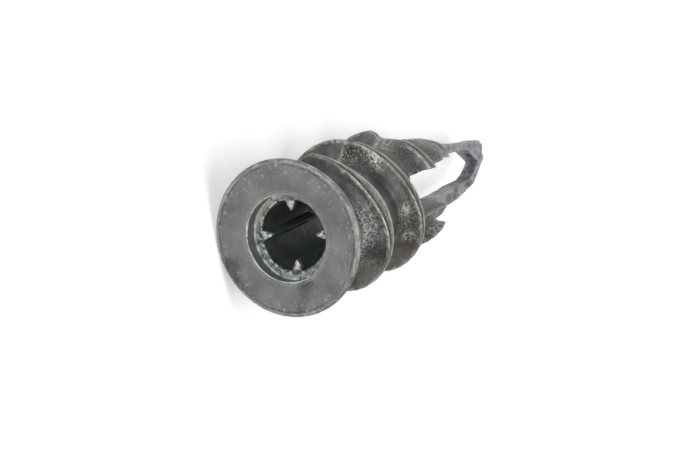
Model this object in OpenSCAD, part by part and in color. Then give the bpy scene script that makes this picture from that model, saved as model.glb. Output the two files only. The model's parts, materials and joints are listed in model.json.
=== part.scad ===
// Self-drilling drywall anchor: one die casting with a flat flange, a finned
// bore, a deep right-hand thread, and two legs that a cast drill point joins.
// Every sub-part is drawn on the anchor's own axes: Z runs along the axis from
// the face of the flange to the point, and -Y is the side of the first leg.
// The finished casting is then laid down as it comes to rest, on the rim of its
// flange and the narrow side of its thread, with its origin under its middle.

/* [Flange] */
// Diameter of the flange
flange_d = 12.8; // [12.4:0.1:14]
// Thickness of the flange from its face to its seat
flange_t = 1.2; // [0.9:0.1:2]
// Width of the rounded edge round the face
flange_edge = 0.45; // [0.3:0.05:0.6]
// Diameter of the recess in the face
recess_d = 7; // [6.6:0.1:7.4]
// Depth of the recess in the face
recess_depth = 0.95; // [0.6:0.05:1.5]

/* [Bore] */
// Diameter of the bore for the screw
bore_d = 5.4; // [5:0.1:5.8]
// Depth of the full bore from the face of the flange
bore_depth = 13.8; // [11:0.1:14.2]
// Diameter at the far end of the tapered bore
throat_d = 2.6; // [2:0.1:3.4]
// Number of fins that a screwdriver turns and the screw then cuts
fin_count = 4; // [3:1:6]
// Height of a fin above the wall of the bore
fin_h = 0.85; // [0.4:0.05:1.1]
// Width of a fin where it meets the wall
fin_w = 1; // [0.6:0.05:1.3]
// Length of the fins along the bore
fin_length = 8; // [3:0.5:10]

/* [Thread] */
// Rise of the thread in one turn
pitch = 6.35; // [5.6:0.05:7]
// Diameter over the first crests, across their widest part
thread_d = 12.2; // [11:0.1:12.8]
// How much narrower the thread is at right angles to that
thread_oval = 1.55; // [0:0.05:2]
// Share of the rise that is taken away from the seams of the die
seam_step = 1.2; // [0:0.1:1.2]
// Angle from the first leg to the seam of the die
seam_angle = -24; // [-45:1:45]
// Height of the first crest at the seam, from the face of the flange
first_crest = 4.57; // [4.2:0.01:5]
// Width of the land on the widest part of a crest
crest_land = 0.3; // [0.1:0.05:0.6]
// Angle between a flank and the plane of the crest
flank_angle = 22; // [15:1:30]
// Width that the root fillet adds to each side of the ridge
root_fillet = 1; // [0.4:0.1:1.2]

/* [Shank] */
// Diameter of the shank at the root of the thread
shank_d = 8.2; // [7.8:0.1:8.8]
// Length of the anchor from the face of the flange to the point
length = 36.2; // [35.6:0.1:37]

/* [Legs] */
// Height at which the window between the legs starts
window_start = 14.6; // [14.3:0.1:15.4]
// Height at which the window ends in a V, behind the drill point
window_end = 34.6; // [34:0.1:34.8]
// Width of the window between the legs
window_w = 3.7; // [3.4:0.1:4]
// Width of a leg at right angles to that
leg_w = 1.3; // [1.1:0.1:1.7]
// Thickness of a leg
leg_t = 1; // [0.8:0.05:1.2]
// How far the end of the window lies off the axis
leg_lean = 0.65; // [0.3:0.05:0.7]
// Width of the flat at the end of the drill point
point_w = 0.8; // [0.6:0.1:1.1]
// Depth of the notch across the drill point
notch_depth = 0.4; // [0.2:0.05:0.5]

/* [Rest] */
// Angle that the casting has rolled from standing leg over leg to lie on its
// narrow side
roll = -83.7; // [-86:0.1:-82]

/* [Hidden] */
$fn = 96;
eps = 0.01;

flange_r = flange_d / 2;
recess_r = recess_d / 2;
bore_r = bore_d / 2;
throat_r = throat_d / 2;
shank_r = shank_d / 2;
thread_r = thread_d / 2;
rim_z = flange_edge * 0.65;

// The thread runs from behind the flange to the first leg. It rises out of the
// shank, and ends in a tooth with a blunt back.
thread_from = -150;
thread_to = 1137;
thread_step = 9;
fade_angle = 80;
end_angle = 27;
ridge_sink = 0.4;
ridge_floor = flange_t * 0.4;
fillet_h = 0.7;
least_ridge = 0.3;
least_fade = 0.05;

// One crest is cut back where the pointed half of the die begins.
notch_from = 720;
notch_to = 768;
notch_d = 9.68;

// Heights of the stations along the pointed half
throat_end = window_start + 6;
taper_start = window_start + 2.6;
taper_mid = taper_start + 3.4;
leg_start = window_end - 7.8;
tooth_start = leg_start - 3.8;
tooth_end = leg_start - 2;
leg_mid = window_end - 4.8;
leg_end = window_end - 2.1;
block_start = window_end - 1.3;
point_start = length - 0.9;
window_r = window_w / 2;

// The crest narrows towards the point: height, and share of thread_r
crest_taper = [
    [0, 1], [first_crest + pitch / 2, 0.997], [first_crest + 1.5 * pitch, 0.965],
    [first_crest + 2 * pitch, 0.89], [first_crest + 2.5 * pitch, 0.84],
    [tooth_start, 0.72], [tooth_end, 0.64], [length, 0.5]
];

// The root of the thread narrows too: height, and share of shank_r
root_taper = [
    [0, 1], [taper_start, 1], [taper_mid, 0.95], [tooth_end, 0.72],
    [leg_start, 0.62], [length, 0.5]
];

// The nose outside the legs: height, and share of shank_r
nose_taper = [
    [taper_start, 1], [taper_mid, 0.95], [tooth_end, 0.86],
    [leg_start, 0.8], [leg_mid, 0.76], [leg_end, 0.66], [length, 0.6]
];

// Rise at an angle along the thread: level at the seams, steep between them
function half_turns(a) = (a - seam_angle) / 180;
function stepped(u) = floor(u) + (1 - cos(180 * (u - floor(u)))) / 2;
function crest_z(a) = first_crest + pitch / 2
    * ((1 - seam_step) * half_turns(a) + seam_step * stepped(half_turns(a)));

function root_at(z) = shank_r * lookup(z, root_taper);
function apex_at(z) = thread_r * lookup(z, crest_taper);
function oval_at(a, z) = apex_at(z)
    - thread_oval / 4 * (1 - cos(2 * (a - seam_angle))) * lookup(z, crest_taper);
function notched(a, r) = a > notch_from && a < notch_to ? min(r, notch_d / 2) : r;

// Share of the full height: it rises behind the flange and falls at the end
function fade(a) = max(least_fade, min(1, (a - thread_from) / fade_angle, 0.5 + (thread_to - a) / end_angle));

// Half the width of the ridge at a radius, up its straight flank
function flank_w(r, z) = crest_land / 2 + max(0, apex_at(z) - r) * tan(flank_angle);

// A station is the section of the ridge at one angle: one flank out to the
// crest, and the other flank back. A fillet widens its root, and where the ridge
// fades, it sinks into the shank.
function on_thread(a, r, z) = [r * sin(a), -r * cos(a), max(z, ridge_floor)];
function flank(a, side) = let (
    z = crest_z(a),
    foot = root_at(z),
    root = foot - ridge_sink,
    crest = max(notched(a, oval_at(a, z)), foot + least_ridge),
    fillet = min(fillet_h, (crest - foot) * 0.7),
    full = [root, foot + fillet * 0.2, foot + fillet * 0.5, foot + fillet, crest],
    spread = [1, 0.64, 0.25, 0, 0]
) [for (i = [0:len(full) - 1]) on_thread(
    a,
    root + (full[i] - root) * fade(a),
    z + side * (flank_w(full[i], z) + spread[i] * root_fillet * fillet / fillet_h)
)];
function reversed(list) = [for (i = [len(list) - 1:-1:0]) list[i]];
function station(a) = concat(flank(a, -1), reversed(flank(a, 1)));

// A closed skin over equal rings of points. An end is closed by strips from
// one side of its ring to the other.
module skin(rings) {
    n = len(rings[0]);
    last = (len(rings) - 1) * n;
    strips = [for (i = [0:n / 2 - 2]) each [[n - 2 - i, i + 1, i], [n - 1 - i, n - 2 - i, i]]];
    polyhedron(
        points = [for (ring = rings) each ring],
        faces = concat(
            strips,
            [for (k = [0:n:last - n]) for (i = [0:n - 1]) let (j = (i + 1) % n) each [
                [k + n + j, k + n + i, k + i],
                [k + j, k + n + j, k + i]
            ]],
            [for (s = strips) [last + s[2], last + s[1], last + s[0]]]
        )
    );
}

module thread_ridge() {
    skin([for (a = [thread_from:thread_step:thread_to]) station(a)]);
}

module flange() {
    rotate_extrude()
        polygon([
            [0, 0], [flange_r - flange_edge, 0], [flange_r - flange_edge * 0.3, flange_edge * 0.2],
            [flange_r, rim_z], [flange_r - flange_edge, flange_t], [0, flange_t]
        ]);
}

// The shank, and the tapered nose that the window turns into legs
module shank() {
    rotate_extrude()
        polygon(concat(
            [[0, flange_t * 0.6], [shank_r, flange_t * 0.6]],
            [for (s = nose_taper) [shank_r * s[1], s[0]]],
            [[0, length]]
        ));
}

// The window's edges: height, and distance towards the first and the second leg
window_sides = [
    [window_start, window_r / 2, window_r / 2], [window_start + 0.7, window_r, window_r],
    [tooth_start, window_r, window_r], [leg_start, window_r * 0.74, window_r * 1.04],
    [leg_mid, window_r * 0.6, window_r * 0.96], [leg_end, window_r * 0.46, window_r * 0.94],
    [block_start, window_r * 0.16, window_r * 0.8], [window_end, -leg_lean + 0.05, leg_lean + 0.05]
];

// Beside its second edge the thread is cut back further than the shank
toe_sides = [
    [taper_start, 0, window_r - 0.2], [taper_start + 1, 0, window_r + 0.15],
    [taper_start + 2.1, 0, window_r + 0.55], [taper_mid - 0.4, 0, window_r + 1.1],
    [taper_mid + 1.4, 0, window_r + 1.5], [tooth_end, 0, window_r + 2.3], [leg_start, 0, window_r]
];

// The outsides of the legs and of the drill point, in the same way
leg_sides = [
    [-1, shank_r + 1, shank_r + 1], [tooth_start - 0.7, shank_r + 1, shank_r + 1],
    [tooth_end, window_r * 0.9 + leg_t, window_r * 1.04 + leg_t * 1.25],
    [leg_start, window_r * 0.74 + leg_t * 0.92, window_r * 1.04 + leg_t * 1.2],
    [leg_mid, window_r * 0.6 + leg_t * 0.78, window_r * 0.96 + leg_t * 1.15],
    [leg_end, window_r * 0.46 + leg_t * 0.6, window_r * 0.94 + leg_t * 0.65],
    [block_start, leg_t * 1.34, leg_t * 2.2], [window_end, leg_t * 1.25, leg_t * 1.3],
    [point_start, leg_t * 1.15, leg_t * 0.95], [length + eps, leg_t * 0.54, leg_t * 0.6]
];

// A shape between two edges, which runs through from one side to the other
module through(sides) {
    last = len(sides) - 1;
    rotate([90, 0, 90])
        linear_extrude(height = 2 * flange_d, center = true)
            polygon(concat(
                [for (s = sides) [-s[1], s[0]]],
                [for (i = [last:-1:0]) [sides[i][2], sides[i][0]]]
            ));
}

module window() {
    through(window_sides);
}

// What stays of the nose: full width by the thread, then flat-sided legs
module nose_sides() {
    half = leg_w / 2;
    outline = [
        [shank_r + 1, -1], [shank_r + 1, tooth_start - 1.2], [shank_r * 0.6, tooth_start],
        [half, tooth_end], [half, window_end], [point_w / 2, length + eps]
    ];
    rotate([90, 0, 0])
        linear_extrude(height = 2 * flange_r, center = true)
            polygon(concat(outline, [for (i = [len(outline) - 1:-1:0]) [-outline[i][0], outline[i][1]]]));
}

module point_notch() {
    side = notch_depth * 2;
    translate([0, 0, length + side * sin(45) - notch_depth])
        rotate([45, 0, 0])
            cube([leg_w * 2, side, side], center = true);
}

module core() {
    intersection() {
        shank();
        nose_sides();
        through(leg_sides);
    }
}

module screw_bore() {
    translate([0, 0, -eps])
        cylinder(r = recess_r, h = recess_depth + eps);
    cylinder(r = bore_r, h = bore_depth);
    translate([0, 0, bore_depth - eps])
        cylinder(r1 = bore_r, r2 = throat_r, h = throat_end - bore_depth);
}

module fins() {
    overlap = 0.2;
    tip = 0.16;
    for (i = [0:fin_count - 1])
        rotate([0, 0, i * 360 / fin_count])
            translate([0, 0, recess_depth])
                linear_extrude(height = fin_length)
                    polygon([
                        [-fin_w / 2, -bore_r - overlap], [fin_w / 2, -bore_r - overlap],
                        [tip / 2, -bore_r + fin_h], [-tip / 2, -bore_r + fin_h]
                    ]);
}

module body() {
    difference() {
        union() {
            flange();
            core();
        }
        window();
        screw_bore();
        point_notch();
    }
}

module thread() {
    difference() {
        thread_ridge();
        window();
        through(toe_sides);
    }
}

module anchor_upright() {
    body();
    thread();
    fins();
}

// Laid down, it leans until the first crest to reach the floor touches it
// beside the rim of the flange. The window has cut the crests past its edge.
window_a = 630 - asin(window_r / thread_r);
function lie_angle_at(a) = let (z = crest_z(a))
    atan((flange_r - oval_at(a, z) * cos(a + roll - 180)) / (z + crest_land / 2 - rim_z));
lie_angle = min([for (a = [seam_angle + 180:thread_step / 3:window_a]) lie_angle_at(a)]);
back_y = rim_z * cos(lie_angle) - flange_r * sin(lie_angle);
front_y = length * cos(lie_angle) + point_w / 2 * sin(lie_angle);

module anchor() {
    color("#6f7270")
        translate([0, -(back_y + front_y) / 2, flange_r * cos(lie_angle) + rim_z * sin(lie_angle)])
            rotate([-90 - lie_angle, 0, 0])
                rotate([0, 0, roll])
                    anchor_upright();
}

anchor();
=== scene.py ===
import json
import math
from collections import namedtuple

import bpy
import numpy as np
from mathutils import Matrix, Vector, noise

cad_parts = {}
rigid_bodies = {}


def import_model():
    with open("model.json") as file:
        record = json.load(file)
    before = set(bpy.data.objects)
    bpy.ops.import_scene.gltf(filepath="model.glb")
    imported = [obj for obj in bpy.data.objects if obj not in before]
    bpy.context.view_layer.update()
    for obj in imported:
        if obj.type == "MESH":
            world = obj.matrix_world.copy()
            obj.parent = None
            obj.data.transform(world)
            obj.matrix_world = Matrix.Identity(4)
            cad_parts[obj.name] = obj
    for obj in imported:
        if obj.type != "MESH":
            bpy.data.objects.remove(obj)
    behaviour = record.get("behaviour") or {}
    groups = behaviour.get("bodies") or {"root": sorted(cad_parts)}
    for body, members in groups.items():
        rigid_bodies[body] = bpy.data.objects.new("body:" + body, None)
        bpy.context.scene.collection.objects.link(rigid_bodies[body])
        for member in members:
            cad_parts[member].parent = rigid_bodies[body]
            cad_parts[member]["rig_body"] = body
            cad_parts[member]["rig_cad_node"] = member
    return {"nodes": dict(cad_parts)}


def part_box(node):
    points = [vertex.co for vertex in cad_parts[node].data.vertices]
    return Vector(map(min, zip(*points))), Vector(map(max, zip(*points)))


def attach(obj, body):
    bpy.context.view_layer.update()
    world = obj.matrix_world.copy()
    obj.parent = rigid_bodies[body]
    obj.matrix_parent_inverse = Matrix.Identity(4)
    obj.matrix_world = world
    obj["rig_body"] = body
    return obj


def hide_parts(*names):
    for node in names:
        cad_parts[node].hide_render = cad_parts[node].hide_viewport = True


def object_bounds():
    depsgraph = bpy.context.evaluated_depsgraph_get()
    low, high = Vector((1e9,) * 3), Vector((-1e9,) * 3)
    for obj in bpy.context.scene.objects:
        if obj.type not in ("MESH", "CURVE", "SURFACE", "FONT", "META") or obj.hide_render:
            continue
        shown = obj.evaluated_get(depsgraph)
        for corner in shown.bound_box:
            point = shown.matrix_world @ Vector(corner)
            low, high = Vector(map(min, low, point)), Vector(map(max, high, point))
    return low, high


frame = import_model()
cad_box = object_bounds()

# ---------------------------------------------------------------------------
# The casting's measures, in millimetres. On its own axes, Z runs from the face
# of the flange to the drill point, and -Y is the side of the upper leg. Angles
# round it go from -Y towards X.
# ---------------------------------------------------------------------------
MM = 0.001

# How it lies in the frame
LEAN = math.radians(5.733)
ROLL = math.radians(-83.7)
MIDDLE_Y = 17.855
AXIS_Z = 6.397

FLANGE_R = 6.4
FLANGE_THICK = 1.1
SHANK_R = 5.0
RECESS_R = 3.5
RECESS_DEPTH = 0.95
BORE_R = 2.7
BORE_DEPTH = 13.8
LEG_START = 25.0

# The thread: its crest rises in steps, twice a turn, and is an oval
PITCH = 6.35
FIRST_CREST = 4.57
STEPPED = 1.2
LAND = 0.3
OVAL = 1.55
OVAL_FROM = math.radians(-24)
FLANK_SLOPE = math.tan(math.radians(22))

# Where the halves of the die meet, and the heights over which that line starts on
# the upper side
SEAM = math.radians(3)
SEAM_FROM, SEAM_WHOLE = 4.8, 5.4

# The side on which the ledge is painted brightest, with painted shade growing away from it, and the
# casting's far side, which goes from the first angle on past half a turn to the second
LEDGE_LIT_SIDE = math.radians(-110)
FAR_FROM, FAR_TO = math.radians(150), math.radians(-75)

# Where the thread stands lower than its oval, or higher if the amount is below
# nothing: four angles in degrees, over which it goes in and comes out again; the
# heights between; the amount at a radius of 6; and the radius where it ends
LOWER_THREAD = (
    (-65, -45, -8, 6, 3.0, 6.5, 0.65, 4.2),         # its start behind the flange
    (-1, 4, 6, 16, 9.8, 12.2, 0.18, 4.2),           # past the seam, on the first turn
    (-50, -30, -2, 3, 16.3, 18.6, -0.15, 4.0),      # before the seam, on the second
    (-2, 3, 8, 28, 16.3, 18.6, 0.4, 4.0),           # and past it
    (-60, -30, 8, 53, 22.3, 25.5, 2.2, 3.3),        # the last tooth
    (70, 105, 150, 180, 3.0, 15.0, -0.13, 4.2),     # the side towards the floor
)
FULL_R = 6.0

# The first land is wider at its back round one angle, over these heights
WIDER_LAND = 0.6
WIDER_AT, WIDER_OVER = 72, 32
WIDER_FROM, WIDER_TO = 4, 9.5

# The punch has set the ledge deeper, but for a raised part at its foot, and has
# opened the bore's mouth
LEDGE_DEEPER = 0.35
FOOT_RAISED = 0.45
FOOT_AT, FOOT_OVER = 180, 50
MOUTH_OPENED = 0.16

# How high, deep or wide the marks of casting and tumbling are
GRAIN_HEIGHT = 0.016
WAVE_HEIGHT = 0.02
SEAM_HEIGHT = 0.05
SEAM_WIDTH = 0.12
NICK_DEPTH = 0.06
GROOVE_DEPTH = 0.04

# Patches of the skin: each is an angle in degrees, a height, a width round the
# casting, a length along it, and a strength
SANDY = (
    (85, 5.0, 1.5, 1.3, 0.9), (102, 5.3, 2.0, 1.5, 1), (122, 6.0, 2.0, 1.4, 1),
    (9, 10.4, 1.6, 0.9, 1), (24, 10.7, 1.6, 0.8, 0.9), (100, 12.4, 2.2, 0.8, 0.6),
    (22, 17.3, 2.0, 0.8, 0.5), (18, 21.8, 2.2, 1.5, 1), (46, 22.0, 1.8, 1.5, 1),
    (140, 19.8, 1.2, 1.2, 0.6),
)
STAINED = (
    (20, 4.0, 2.8, 1.1, 1), (45, 4.6, 2.2, 1.0, 1), (66, 4.4, 1.6, 0.9, 0.5),
    (34, 10.1, 1.8, 1.0, 0.9), (54, 10.4, 2.4, 1.4, 1), (76, 10.9, 2.6, 1.3, 1),
    (102, 11.9, 2.0, 0.8, 0.5), (122, 6.9, 1.0, 0.6, 1.2), (131, 13.2, 1.4, 0.6, 1.2),
    (119, 13.4, 0.6, 0.5, 0.8), (40, 16.7, 2.2, 1.3, 0.8), (58, 16.5, 1.5, 1.6, 0.9),
    (15, 16.0, 1.4, 1.0, 0.5), (45, 21.5, 1.6, 1.2, 0.7), (135, 19.5, 1.8, 1.4, 0.7),
)
CHALKY = (
    (34, 11.1, 0.75, 0.24, 1), (94, 12.3, 0.5, 0.4, 0.6), (123, 13.2, 0.5, 0.3, 0.6),
    (108, 5.4, 1.6, 0.8, 0.4), (137, 20.0, 0.7, 0.5, 0.4), (12, 17.0, 0.6, 0.8, 0.4),
)
BROWN = (
    (13, 16.0, 0.7, 1.0, 0.8), (138, 7.0, 1.4, 1.0, 0.4), (143, 13.5, 1.6, 1.2, 0.5),
    (14, 10.9, 0.8, 0.5, 0.25),
)

# What the skin's masks are called. The last three hold lengths, which are packed
# into 0 to 1: a radius as a share of 10 mm, and a distance from an edge of the
# land as 0.5 more than a share of 4 mm.
MASKS = ("edge", "hollow", "bright", "wall", "depth", "flange", "legs", "thread",
         "seam", "sandy", "stained", "chalky", "fin_ends", "brown",
         "radius", "from_front", "from_back")
RADIUS_SPAN = 10
LAND_SPAN = 4

# Noise patterns of the finish: the size of their clouds, their detail and their
# roughness, and where it is given the band of them that is stretched, and to what
PATTERNS = {
    "thread_clouds": (2.6, 6, 0.66),
    "face_clouds": (1.8, 5, 0.6),
    "leg_clouds": (1.2, 5, 0.65),
    "bevel_clouds": (0.9, 4, 0.6),
    "bore_clouds": (2.2, 3, 0.55),
    "bare_clouds": (0.55, 4, 0.65),
    # The sand of the skin is too fine to show, so its grains are drawn coarser
    "sand": (0.17, 2, 0.75),
    "orange_peel": (0.5, 4, 0.65),
    # How far a rubbed line wanders, how it is broken, and its long bright stretches
    "wander": (0.6, 3, 0.6, 0.3, 0.7, -0.07, 0.07),
    "broken": (0.7, 3, 0.65, 0.34, 0.56, 0.25, 1.0),
    "stretch": (3.5, 2, 0.5, 0.42, 0.56),
    # The edges of stains, chalky dust, and scuffs
    "ragged": (0.8, 5, 0.7, 0.34, 0.56, 0.65, 1.0),
    "chalk": (0.25, 3, 0.7, 0.42, 0.56),
    "scuffs": (0.28, 3, 0.6, 0.58, 0.68),
    # Pits in the legs and in the sheared metal, and where that is warm in tone
    "leg_pits": (0.9, 5, 0.7, 0.5, 0.6, 0.0, 0.6),
    "bare_pits": (0.35, 3, 0.7, 0.46, 0.56),
    "warm": (2.0, 2, 0.5, 0.48, 0.58, 0.0, 0.7),
}

# Greys that follow a pattern: each stop is a place from 0 to 1 and a colour
GREYS = {
    "thread_clouds": ((0.34, "#484a49"), (0.5, "#646562"), (0.64, "#80817d")),
    "face_clouds": ((0.3, "#6c6c6e"), (0.5, "#787879"), (0.7, "#868687")),
    "leg_clouds": ((0.34, "#5c5e63"), (0.47, "#8a8c94"), (0.64, "#b2b3ba")),
    "bevel_clouds": ((0.32, "#525356"), (0.5, "#6c6e6e"), (0.7, "#8e8f8c")),
    "bore_clouds": ((0.4, "#7e7870"), (0.5, "#747e7c"), (0.6, "#7c888e")),
    "bare_clouds": ((0.38, "#6c7172"), (0.46, "#a3abac"), (0.6, "#d0d8da")),
    "sand": ((0.32, "#1e1e1e"), (0.48, "#7a7a7a"), (0.62, "#f4f4f4")),
}

# The studio, in metres and degrees. A lamp is a place, a width and watts. The
# floor is lifted where it is seen, and the world has one strength as light and
# another where it is seen.
LAMPS = {
    "lamp_overhead": ((0.10, -0.05, 0.42), 0.30, 0.85),
    "lamp_front": ((-0.16, -0.42, 0.24), 0.35, 0.4),
    "lamp_side": ((-0.40, 0.12, 0.16), 0.25, 0.3),
}
LAMP_AIM = (0, 0, 0.006)
FLOOR_WIDTH = 6
FLOOR_LIFT = 0.4
WORLD_LIGHT = 0.25
WORLD_SEEN = 1.0
CAMERA_PLACE = (-0.03749, -0.26016, 0.17879)
CAMERA_TURN = (10.2327, -55.2353, 68.9185)
CAMERA_LENS = 196.25
CAMERA_SENSOR = 36

# Where points lie on the casting's own axes
Place = namedtuple("Place", "across angle height")


# ---------------------------------------------------------------------------
# Helpers
# ---------------------------------------------------------------------------
def own_axes(points):
    """Points of the frame, in mm, on the casting's own axes."""
    x, y, z = points[:, 0], points[:, 1] + MIDDLE_Y, points[:, 2] - AXIS_Z
    tilt = math.pi / 2 + LEAN
    y, z = y * math.cos(tilt) - z * math.sin(tilt), y * math.sin(tilt) + z * math.cos(tilt)
    c, s = math.cos(ROLL), math.sin(ROLL)
    return np.stack([x * c + y * s, -x * s + y * c, z], axis=1)


def srgb(code):
    """A hex colour as linear RGBA."""
    parts = [int(code[i:i + 2], 16) / 255 for i in (1, 3, 5)]
    return [p / 12.92 if p <= 0.04045 else ((p + 0.055) / 1.055) ** 2.4 for p in parts] + [1.0]


def add(tree, kind, inputs=(), out=None, **settings):
    """Adds a node with its settings, and its inputs as values or links, by name or
    in order. Gives the output that is asked for, or else the first in use."""
    node = tree.nodes.new(kind)
    for name, value in settings.items():
        setattr(node, name, value)
    if isinstance(inputs, dict):
        pairs = [(node.inputs[name], value) for name, value in inputs.items()]
    else:
        pairs = zip([socket for socket in node.inputs if socket.enabled], inputs)
    for socket, value in pairs:
        if isinstance(value, bpy.types.NodeSocket):
            tree.links.new(value, socket)
        else:
            socket.default_value = value
    return node.outputs[out] if out else next((s for s in node.outputs if s.enabled), None)


def select_only(obj):
    bpy.ops.object.select_all(action="DESELECT")
    obj.select_set(True)
    bpy.context.view_layer.objects.active = obj


def read_rows(items, name, width, kind=float):
    """One property of all vertices or edges, a row for each."""
    values = np.empty(len(items) * width, kind)
    items.foreach_get(name, values)
    return values.reshape(-1, width)


def write_points(mesh, points):
    mesh.vertices.foreach_set("co", points.ravel())
    mesh.update()


def smooth_step(low, high, value):
    t = np.clip((value - low) / (high - low), 0, 1)
    return t * t * (3 - 2 * t)


def neighbour_mean(edges, values):
    """The mean of each vertex's neighbours."""
    total = np.zeros_like(values)
    count = np.zeros(len(values))
    for a, b in ((0, 1), (1, 0)):
        np.add.at(total, edges[:, a], values[edges[:, b]])
        np.add.at(count, edges[:, a], 1)
    return total / (count if values.ndim == 1 else count[:, None])


def lumps(points, size, seed):
    """Smooth noise from -1 to 1, with lumps of this size in mm."""
    shift = Vector((seed * 7.31, seed * 3.17, seed * 5.71))
    return np.array([noise.noise(Vector(p) / size + shift) for p in points])


# ---------------------------------------------------------------------------
# The casting
# ---------------------------------------------------------------------------
def cast_blank():
    """The CAD casting as one even skin, in mm, with its sharp edges eased."""
    node = frame["nodes"]["anchor"]
    select_only(node)
    bpy.ops.object.duplicate()
    casting = bpy.context.object
    casting.name = casting.data.name = "anchor_casting"
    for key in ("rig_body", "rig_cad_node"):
        if key in casting:
            del casting[key]
    casting.parent = None
    bpy.ops.object.mode_set(mode="EDIT")
    bpy.ops.mesh.select_all(action="SELECT")
    bpy.ops.mesh.remove_doubles(threshold=1e-7)
    bpy.ops.transform.resize(value=(1000, 1000, 1000), center_override=(0, 0, 0))
    bpy.ops.object.mode_set(mode="OBJECT")
    skin = casting.modifiers.new("even_skin", "REMESH")
    skin.mode = "SHARP"
    skin.octree_depth = 8
    skin.scale = 0.99
    bpy.ops.object.modifier_apply(modifier=skin.name)
    eased = casting.modifiers.new("eased_edges", "SMOOTH")
    eased.factor = 0.5
    eased.iterations = 1
    bpy.ops.object.modifier_apply(modifier=eased.name)
    return casting


def edges_and_hollows(points, normals, edges):
    """Masks of how far each point stands out from or lies below its neighbours,
    over about half a millimetre."""
    bulge = np.einsum("ij,ij->i", points - neighbour_mean(edges, points), normals)
    for _ in range(6):
        bulge = 0.4 * bulge + 0.6 * neighbour_mean(edges, bulge)
    return {"edge": smooth_step(0.004, 0.022, bulge), "hollow": smooth_step(0.003, 0.016, -bulge)}


def parts_of_casting(at, facing):
    """Masks of the flange, the legs, the thread, and what is in the recess and bore.
    Their limits have a margin for the points that easing the edges has moved."""
    across, angle, height = at
    bore = (across < RECESS_R + 0.15) & (height > -0.1) & (height < BORE_DEPTH + 3)
    ledge = bore & (height < RECESS_DEPTH + 0.25) & (across < RECESS_R + 0.05)
    fins = bore & (across < BORE_R - 0.1) & (height < RECESS_DEPTH + 0.5)
    forward = facing[:, 2] < -0.5
    bright = np.where((ledge & forward) | fins, 1.0, 0.0)
    # Painted shade: the bare metal fades to a third round the side away from the ledge's lit side
    bright *= 0.3 + 0.7 * smooth_step(-0.4, 0.0, np.cos(angle - LEDGE_LIT_SIDE))
    bright *= 1 - bore * smooth_step(RECESS_DEPTH + 0.3, RECESS_DEPTH + 1.0, height)
    flange = (across > RECESS_R - 0.02) & (height < FLANGE_THICK)
    flange &= (across > SHANK_R) | (height < 0.4)
    return {
        "bore": bore, "fin_ends": fins, "bright": bright, "flange": flange,
        "wall": ledge & ~forward,
        "depth": bore * smooth_step(RECESS_DEPTH, RECESS_DEPTH + 1.4, height),
        "legs": smooth_step(LEG_START - 1.5, LEG_START + 1, height),
        "thread": (across > 3.4) & (height > 1.4) & (height < LEG_START + 3),
        "radius": across / RADIUS_SPAN,
    }


def from_land(at):
    """How far each point is past the front and the back edge of the nearest land."""
    turns = (at.angle[:, None] - OVAL_FROM) / math.pi + 2 * np.arange(-1, 4)
    whole = np.floor(turns)
    stepped = whole + (1 - np.cos(math.pi * (turns - whole))) / 2
    rise = STEPPED * stepped - (STEPPED - 1) * turns
    gap = at.height[:, None] - FIRST_CREST - PITCH / 2 * rise
    gap = gap[np.arange(len(gap)), np.abs(gap).argmin(axis=1)]
    half = LAND / 2 + OVAL / 4 * (1 - np.cos(2 * (at.angle - OVAL_FROM))) * FLANK_SLOPE
    return gap + half, gap - half


def worked_shape(points, own, at, bore, from_back):
    """The thread lowered and widened by place, and the ledge and the bore's mouth as
    the punch leaves them."""
    across, angle, height = at
    degrees = np.degrees(angle)
    basis = own_axes(np.eye(3)) - own_axes(np.zeros((1, 3)))
    outward = np.stack([own[:, 0] / across, own[:, 1] / across, 0 * across], axis=1)

    lower = 0
    for start, first, last, end, low, high, amount, root in LOWER_THREAD:
        there = smooth_step(start, first, degrees) * (1 - smooth_step(last, end, degrees))
        there *= smooth_step(low - 0.5, low, height) * (1 - smooth_step(high, high + 0.5, height))
        lower = lower + amount * there * np.clip((across - root) / (FULL_R - root), 0, 1)

    wider = np.exp(-((degrees - WIDER_AT) / WIDER_OVER) ** 2) * smooth_step(-0.4, 0.0, from_back)
    wider *= (height > WIDER_FROM) * (height < WIDER_TO) * np.clip((across - 4.2) / 0.9, 0, 1)

    mouth = bore * (1 - smooth_step(1.5, 4.0, height))
    raised = np.exp(-((degrees % 360 - FOOT_AT) / FOOT_OVER) ** 2)
    raised *= np.clip((across - 2.5) / 0.3, 0, 1)
    deeper = (LEDGE_DEEPER - FOOT_RAISED * raised) * mouth * np.clip(height / RECESS_DEPTH, 0, 1)
    opened = MOUTH_OPENED * mouth * np.clip((RECESS_R - across) / (RECESS_R - BORE_R), 0, 1)

    points = points + (outward * (opened - lower)[:, None]) @ basis.T
    return points + (WIDER_LAND * wider + deeper)[:, None] * basis[:, 2]


def patches_of_skin(points, at, thread, flange):
    """Masks of sandy, stained, chalky and brown skin. On the far side they lie in
    clouds 2 to 3 mm wide."""
    across, angle, height = at

    def patch(spots):
        total = np.zeros(len(points))
        for degrees, middle, wide, long, strength in spots:
            turned = (angle - math.radians(degrees) + math.pi) % (2 * math.pi) - math.pi
            near = np.exp(-(turned * across / wide) ** 2 - ((height - middle) / long) ** 2)
            total = np.maximum(total, strength * near)
        return total * thread

    far_side = (angle < FAR_TO) | (angle > FAR_FROM)
    sandy = far_side * thread * (height < 23) * smooth_step(-0.1, 0.4, lumps(points, 3.0, 5))
    sandy = np.maximum(patch(SANDY), sandy)
    sandy *= np.where((angle > FAR_TO) & (angle < SEAM), 0.1, 1)
    stained = far_side * 0.8 * smooth_step(0.1, 0.6, lumps(points, 2.2, 6))
    brown = 0.22 * smooth_step(0.3, 0.7, lumps(points, 1.9, 7)) * ~flange
    return {
        "sandy": sandy, "stained": np.maximum(patch(STAINED), stained),
        "chalky": patch(CHALKY), "brown": np.maximum(patch(BROWN), brown),
    }


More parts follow.
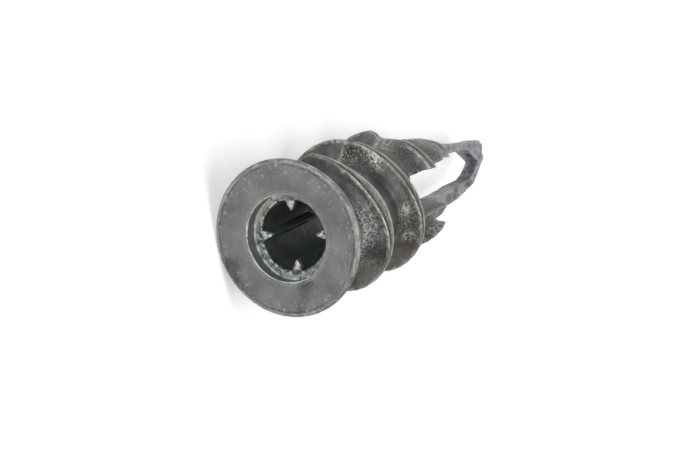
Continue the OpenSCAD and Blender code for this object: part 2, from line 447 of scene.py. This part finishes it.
def seam_line(at, thread):
    """The thin raised line where the die's halves meet. On the upper side it starts
    on the first turn of the thread."""
    turned = np.abs((at.angle - SEAM + math.pi / 2) % math.pi - math.pi / 2) * at.across
    upper = np.abs(at.angle - SEAM) < math.pi / 2
    line = np.exp(-(turned / SEAM_WIDTH) ** 2) * thread
    return line * np.where(upper, smooth_step(SEAM_FROM, SEAM_WHOLE, at.height), 1)


def cast_skin(casting):
    """Shapes the skin as it leaves the die, and marks its parts for the finish."""
    mesh = casting.data
    points = read_rows(mesh.vertices, "co", 3)
    normals = read_rows(mesh.vertices, "normal", 3)
    edges = read_rows(mesh.edges, "vertices", 2, int)
    own = own_axes(points)
    facing = own_axes(points + normals) - own
    at = Place(np.hypot(own[:, 0], own[:, 1]), np.arctan2(own[:, 0], -own[:, 1]), own[:, 2])

    mask = parts_of_casting(at, facing)
    mask.update(edges_and_hollows(points, normals, edges))
    from_front, from_back = from_land(at)
    mask["from_front"] = 0.5 + from_front / LAND_SPAN
    mask["from_back"] = 0.5 + from_back / LAND_SPAN
    mask["seam"] = seam_line(at, mask["thread"])
    points = worked_shape(points, own, at, mask["bore"], from_back)
    mask.update(patches_of_skin(points, at, mask["thread"], mask["flange"]))

    grain = lumps(points, 0.42, 1) * 0.6 + lumps(points, 0.9, 2) * 0.4
    waves = lumps(points, 2.6, 3)
    rough = np.where(mask["flange"], 0.2, np.where(mask["bore"], 0.3, 1.0))
    nicks = smooth_step(0.5, 0.75, lumps(points, 0.75, 4)) * mask["edge"]
    lift = rough * (GRAIN_HEIGHT * grain + WAVE_HEIGHT * waves) + SEAM_HEIGHT * mask["seam"]
    lift -= NICK_DEPTH * nicks * np.where(mask["flange"], 0.4, 1.0)
    lift -= GROOVE_DEPTH * np.exp(-((from_front - 0.2) / 0.1) ** 2) * mask["thread"]
    write_points(mesh, points + normals * lift[:, None])

    for name in MASKS:
        attribute = mesh.attributes.new(name, "FLOAT", "POINT")
        attribute.data.foreach_set("value", np.clip(mask[name], 0, 1).astype(np.float32))


def fit_in_box(casting):
    """Keeps the skin inside the CAD casting's box, and puts it back in metres."""
    points = read_rows(casting.data.vertices, "co", 3) * MM
    low, high = (np.array(corner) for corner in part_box("anchor"))
    write_points(casting.data, np.clip(points, low, high))


# ---------------------------------------------------------------------------
# Finish
# ---------------------------------------------------------------------------
def die_cast_zinc():
    """Die-cast zinc alloy, tumbled in bulk: a dull grey skin with a fine sandy
    grain, paler where edges rub, darker in the roots with painted shade, and bare
    bright metal on the ledge where the trimming punch has sheared it, with painted
    shade on the side of the ledge away from the light."""
    material = bpy.data.materials.new("die_cast_zinc")
    material.use_nodes = True
    tree = material.node_tree
    tree.nodes.clear()

    def coat(under, top, *covers, blend="MIX"):
        """Lays a colour over another, as far as all its covers reach."""
        reach = covers[0]
        for cover in covers[1:]:
            reach = add(tree, "ShaderNodeMath", (reach, cover), operation="MULTIPLY")
        top = srgb(top) if isinstance(top, str) else top
        return add(tree, "ShaderNodeMix", (reach, under, top), data_type="RGBA", blend_type=blend)

    def fine_line(distance, centre, width, strength=1.0):
        """A soft line this far off and this wide, in mm, and 0 beside it."""
        off = add(tree, "ShaderNodeMath", (distance, centre), operation="SUBTRACT")
        off = add(tree, "ShaderNodeMath", (off,), operation="ABSOLUTE")
        return add(tree, "ShaderNodeMapRange", (off, width * 0.3, width * 0.7, strength, 0.0))

    mask = {name: add(tree, "ShaderNodeAttribute", out="Fac", attribute_name=name)
            for name in MASKS}
    flange, thread, legs = mask["flange"], mask["thread"], mask["legs"]

    place = add(tree, "ShaderNodeTexCoord", out="Object")
    pattern = {}
    for name, (size, detail, rough, *band) in PATTERNS.items():
        inputs = {"Vector": place, "Scale": 1 / (size * MM), "Detail": detail, "Roughness": rough}
        pattern[name] = add(tree, "ShaderNodeTexNoise", inputs)
        if band:
            pattern[name] = add(tree, "ShaderNodeMapRange", (pattern[name], *band))
    wander, broken, stretch = pattern["wander"], pattern["broken"], pattern["stretch"]

    grey = {}
    for name, stops in GREYS.items():
        grey[name] = add(tree, "ShaderNodeValToRGB", (pattern[name],))
        elements = grey[name].node.color_ramp.elements
        while len(elements) < len(stops):
            elements.new(0.5)
        for element, (position, code) in zip(elements, stops):
            element.position = position
            element.color = srgb(code)

    # The distance from the axis, and from both edges of the land, in mm
    radius = add(tree, "ShaderNodeMath", (mask["radius"], RADIUS_SPAN), operation="MULTIPLY")
    wavy_radius = add(tree, "ShaderNodeMath", (wander, 0.6, radius), operation="MULTIPLY_ADD")
    from_edge = {}
    for name in ("from_front", "from_back"):
        off = add(tree, "ShaderNodeMath", (mask[name], 0.5), operation="SUBTRACT")
        from_edge[name] = add(tree, "ShaderNodeMath", (off, LAND_SPAN, wander),
                              operation="MULTIPLY_ADD")

    # The skin's greys: the thread, the face and bevel of the flange, and the legs
    bevel = add(tree, "ShaderNodeMapRange", (radius, FLANGE_R - 0.3, FLANGE_R - 0.2))
    colour = coat(grey["thread_clouds"], grey["face_clouds"], flange)
    colour = coat(colour, grey["bevel_clouds"], flange, bevel)
    colour = coat(colour, grey["leg_clouds"], legs, 0.9)

    # The sandy skin that the metal takes from the die, and pits in the legs
    off_flange = add(tree, "ShaderNodeMapRange", (flange, 0, 1, 0.22, 0.0))
    sandy = add(tree, "ShaderNodeMath", (mask["sandy"], 0.75, off_flange), operation="MULTIPLY_ADD")
    colour = coat(colour, grey["sand"], sandy, blend="OVERLAY")
    light_grains = add(tree, "ShaderNodeMapRange", (pattern["sand"], 0.54, 0.64, 0.0, 0.85))
    colour = coat(colour, "#aaafae", light_grains, mask["sandy"])
    colour = coat(colour, "#46474c", legs, pattern["leg_pits"])

    # Painted shade in the roots, dark stain in patches with ragged edges, brown ones, and chalk
    # Painted shade: the hollows of the roots are darkened a little, under the real stains
    painted_root_shade = add(tree, "ShaderNodeMath", (mask["hollow"], 0.25), operation="MULTIPLY")
    ragged = add(tree, "ShaderNodeMath", (pattern["ragged"], 0.85), operation="MULTIPLY")
    stain_and_root_shade = add(tree, "ShaderNodeMath", (mask["stained"], ragged, painted_root_shade),
                operation="MULTIPLY_ADD")
    colour = coat(colour, "#2b2b2e", stain_and_root_shade)
    colour = coat(colour, "#6f5c50", mask["brown"], pattern["ragged"], 0.6)
    colour = coat(colour, "#d8d6cc", pattern["chalk"], mask["chalky"])

    # The land of the thread: pale towards its back, with a dark line of painted shade inside its
    # front
    pale_back = fine_line(from_edge["from_back"], -0.15, 0.4)
    colour = coat(colour, "#9b9d94", pale_back, thread, broken, 0.6)
    # Painted shade: a dark line along the groove inside the land's front edge
    painted_groove_shade = fine_line(from_edge["from_front"], 0.24, 0.26)
    shade_line_stretch = add(tree, "ShaderNodeMapRange", (stretch, 0, 1, 0.55, 1.0))
    colour = coat(colour, "#232220", painted_groove_shade, shade_line_stretch, thread, broken)

    # What tumbling has rubbed bright: both edges of the land, the casting's other
    # edges, most of all on the legs, and the seam
    front = fine_line(from_edge["from_front"], 0.03, 0.17)
    front_stretch = add(tree, "ShaderNodeMapRange", (stretch, 0, 1, 0.35, 0.95))
    front = add(tree, "ShaderNodeMath", (front, front_stretch), operation="MULTIPLY")
    back = fine_line(from_edge["from_back"], -0.05, 0.16)
    land = add(tree, "ShaderNodeMath", (front, back), operation="MAXIMUM")
    on_thread = add(tree, "ShaderNodeMath", (thread, 0.95), operation="MULTIPLY")
    on_edges = add(tree, "ShaderNodeMapRange", (legs, 0, 1, 0.45, 0.9))
    rubbed = 0
    for part, strength in ((land, on_thread), (mask["edge"], on_edges), (mask["seam"], 0.7)):
        worn = add(tree, "ShaderNodeMath", (part, strength), operation="MULTIPLY")
        rubbed = add(tree, "ShaderNodeMath", (rubbed, worn), operation="MAXIMUM")
    rubbed = add(tree, "ShaderNodeMath", (rubbed, broken), operation="MULTIPLY")
    colour = coat(colour, "#b6b8ae", rubbed, 0.85)

    # The flange: a fine dark line inside its bevel, rubbed lines on the bevel's edge
    # and round the lip of the recess, and scuffs that are thickest near its rim
    colour = coat(colour, "#4b4b4b", fine_line(wavy_radius, 5.94, 0.1), flange, broken, stretch)
    lips = 0
    for centre, width, strength in ((6.16, 0.14, 1.0), (3.57, 0.1, 0.8), (3.8, 0.08, 0.45)):
        lip = fine_line(wavy_radius, centre, width, strength)
        lips = add(tree, "ShaderNodeMath", (lips, lip), operation="MAXIMUM")
    lip_stretch = add(tree, "ShaderNodeMapRange", (stretch, 0, 1, 0.3, 0.85))
    colour = coat(colour, "#adaea8", lips, lip_stretch, broken, flange)
    near_rim = add(tree, "ShaderNodeMapRange", (radius, 4.6, 5.8, 0.12, 0.6))
    colour = coat(colour, "#bdbdb8", pattern["scuffs"], near_rim, flange)

    # Bare sheared metal on the ledge and the ends of the fins, with painted shade on the ledge's
    # side away from the light, and with dark pits that are thickest at the ledge's inner edge, and
    # the skin of the wall and the bore
    near_bore = add(tree, "ShaderNodeMapRange", (radius, 2.8, 3.2, 1.0, 0.15))
    bare = coat(grey["bare_clouds"], "#c8bfb6", pattern["warm"])
    bare = coat(bare, "#35383a", near_bore, pattern["bare_pits"])
    colour = coat(colour, "#7c7e78", mask["wall"], 0.85)
    # The bare metal's mask carries painted shade on the side of the ledge away from the light
    colour = coat(colour, bare, mask["bright"])
    colour = coat(colour, "#dcdcd4", mask["fin_ends"], pattern["chalk"], 0.9)
    colour = coat(colour, grey["bore_clouds"], mask["depth"], 0.95)

    # Rougher and smoother with the sand, and smoother where it is rubbed
    roughness = add(tree, "ShaderNodeMapRange", (pattern["sand"], 0.3, 0.7, 0.4, 0.62))
    roughness = add(tree, "ShaderNodeMath", (rubbed, -0.1, roughness), operation="MULTIPLY_ADD")
    peel = add(tree, "ShaderNodeMapRange", (flange, 0, 1, 1.5, 0.4))
    peel = add(tree, "ShaderNodeMath", (pattern["orange_peel"], peel), operation="MULTIPLY")
    bumps = add(tree, "ShaderNodeMath", (pattern["sand"], sandy, peel), operation="MULTIPLY_ADD")
    relief = add(tree, "ShaderNodeBump", {"Height": bumps, "Strength": 0.7, "Distance": 0.08 * MM})

    shader = add(tree, "ShaderNodeBsdfPrincipled", {
        "Base Color": colour, "Metallic": 0.75, "Roughness": roughness, "Normal": relief,
    })
    add(tree, "ShaderNodeOutputMaterial", {"Surface": shader})
    return material


# ---------------------------------------------------------------------------
# Stage
# ---------------------------------------------------------------------------
def seen_or_reflected(tree):
    """1 for what the camera sees straight, in metal or through glass, else 0."""
    path = add(tree, "ShaderNodeLightPath").node.outputs
    seen = path["Is Camera Ray"]
    for ray in ("Is Glossy Ray", "Is Transmission Ray"):
        seen = add(tree, "ShaderNodeMath", (seen, path[ray]), operation="MAXIMUM")
    return seen


def matt_white_card():
    """Matt white card, lifted a little where it is seen, so that it shows white and
    still holds a soft shadow."""
    material = bpy.data.materials.new("matt_white_card")
    material.use_nodes = True
    tree = material.node_tree
    tree.nodes.clear()
    card = add(tree, "ShaderNodeBsdfDiffuse", {"Color": srgb("#fafafa")})
    lift = add(tree, "ShaderNodeMath", (seen_or_reflected(tree), FLOOR_LIFT), operation="MULTIPLY")
    glow = add(tree, "ShaderNodeEmission", {"Color": srgb("#ffffff"), "Strength": lift})
    both = add(tree, "ShaderNodeAddShader", (card, glow))
    add(tree, "ShaderNodeOutputMaterial", {"Surface": both})
    return material


def make_floor(low, high):
    centre = [(a + b) / 2 for a, b in zip(low, high)]
    bpy.ops.object.select_all(action="DESELECT")
    bpy.ops.mesh.primitive_plane_add(size=FLOOR_WIDTH, location=(centre[0], centre[1], low[2]))
    floor = bpy.context.object
    floor.name = "floor"
    floor.data.materials.append(matt_white_card())
    bpy.ops.object.transform_apply(location=True, rotation=False, scale=False)


def make_world():
    world = bpy.data.worlds.new("studio")
    bpy.context.scene.world = world
    world.use_nodes = True
    tree = world.node_tree
    tree.nodes.clear()
    white = srgb("#ffffff")
    light = add(tree, "ShaderNodeBackground", {"Color": white, "Strength": WORLD_LIGHT})
    shown = add(tree, "ShaderNodeBackground", {"Color": white, "Strength": WORLD_SEEN})
    mix = add(tree, "ShaderNodeMixShader", (seen_or_reflected(tree), light, shown))
    add(tree, "ShaderNodeOutputWorld", {"Surface": mix})


def make_lamps():
    for name, (place, width, watts) in LAMPS.items():
        lamp = bpy.data.lights.new(name, "AREA")
        lamp.shape = "DISK"
        lamp.size = width
        lamp.energy = watts
        obj = bpy.data.objects.new(name, lamp)
        bpy.context.scene.collection.objects.link(obj)
        obj.location = place
        aim = Vector(LAMP_AIM) - Vector(place)
        obj.rotation_euler = aim.to_track_quat("-Z", "Y").to_euler()


def make_camera():
    """Looks down on the flange from in front, turned so that up runs to the
    right of the frame."""
    camera = bpy.data.cameras.new("camera")
    camera.sensor_width = CAMERA_SENSOR
    camera.lens = CAMERA_LENS
    camera.clip_start = 0.01
    camera.clip_end = 20
    obj = bpy.data.objects.new("camera", camera)
    bpy.context.scene.collection.objects.link(obj)
    obj.location = CAMERA_PLACE
    obj.rotation_euler = [math.radians(a) for a in CAMERA_TURN]
    bpy.context.scene.camera = obj


# ---------------------------------------------------------------------------
# Scene
# ---------------------------------------------------------------------------
make_camera()
casting = cast_blank()
cast_skin(casting)
fit_in_box(casting)
casting.data.materials.clear()
casting.data.materials.append(die_cast_zinc())
select_only(casting)
bpy.ops.object.shade_smooth()
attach(casting, "root")
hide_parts("anchor")

make_floor(*cad_box)
make_world()
make_lamps()
bpy.context.scene.view_settings.view_transform = "Standard"
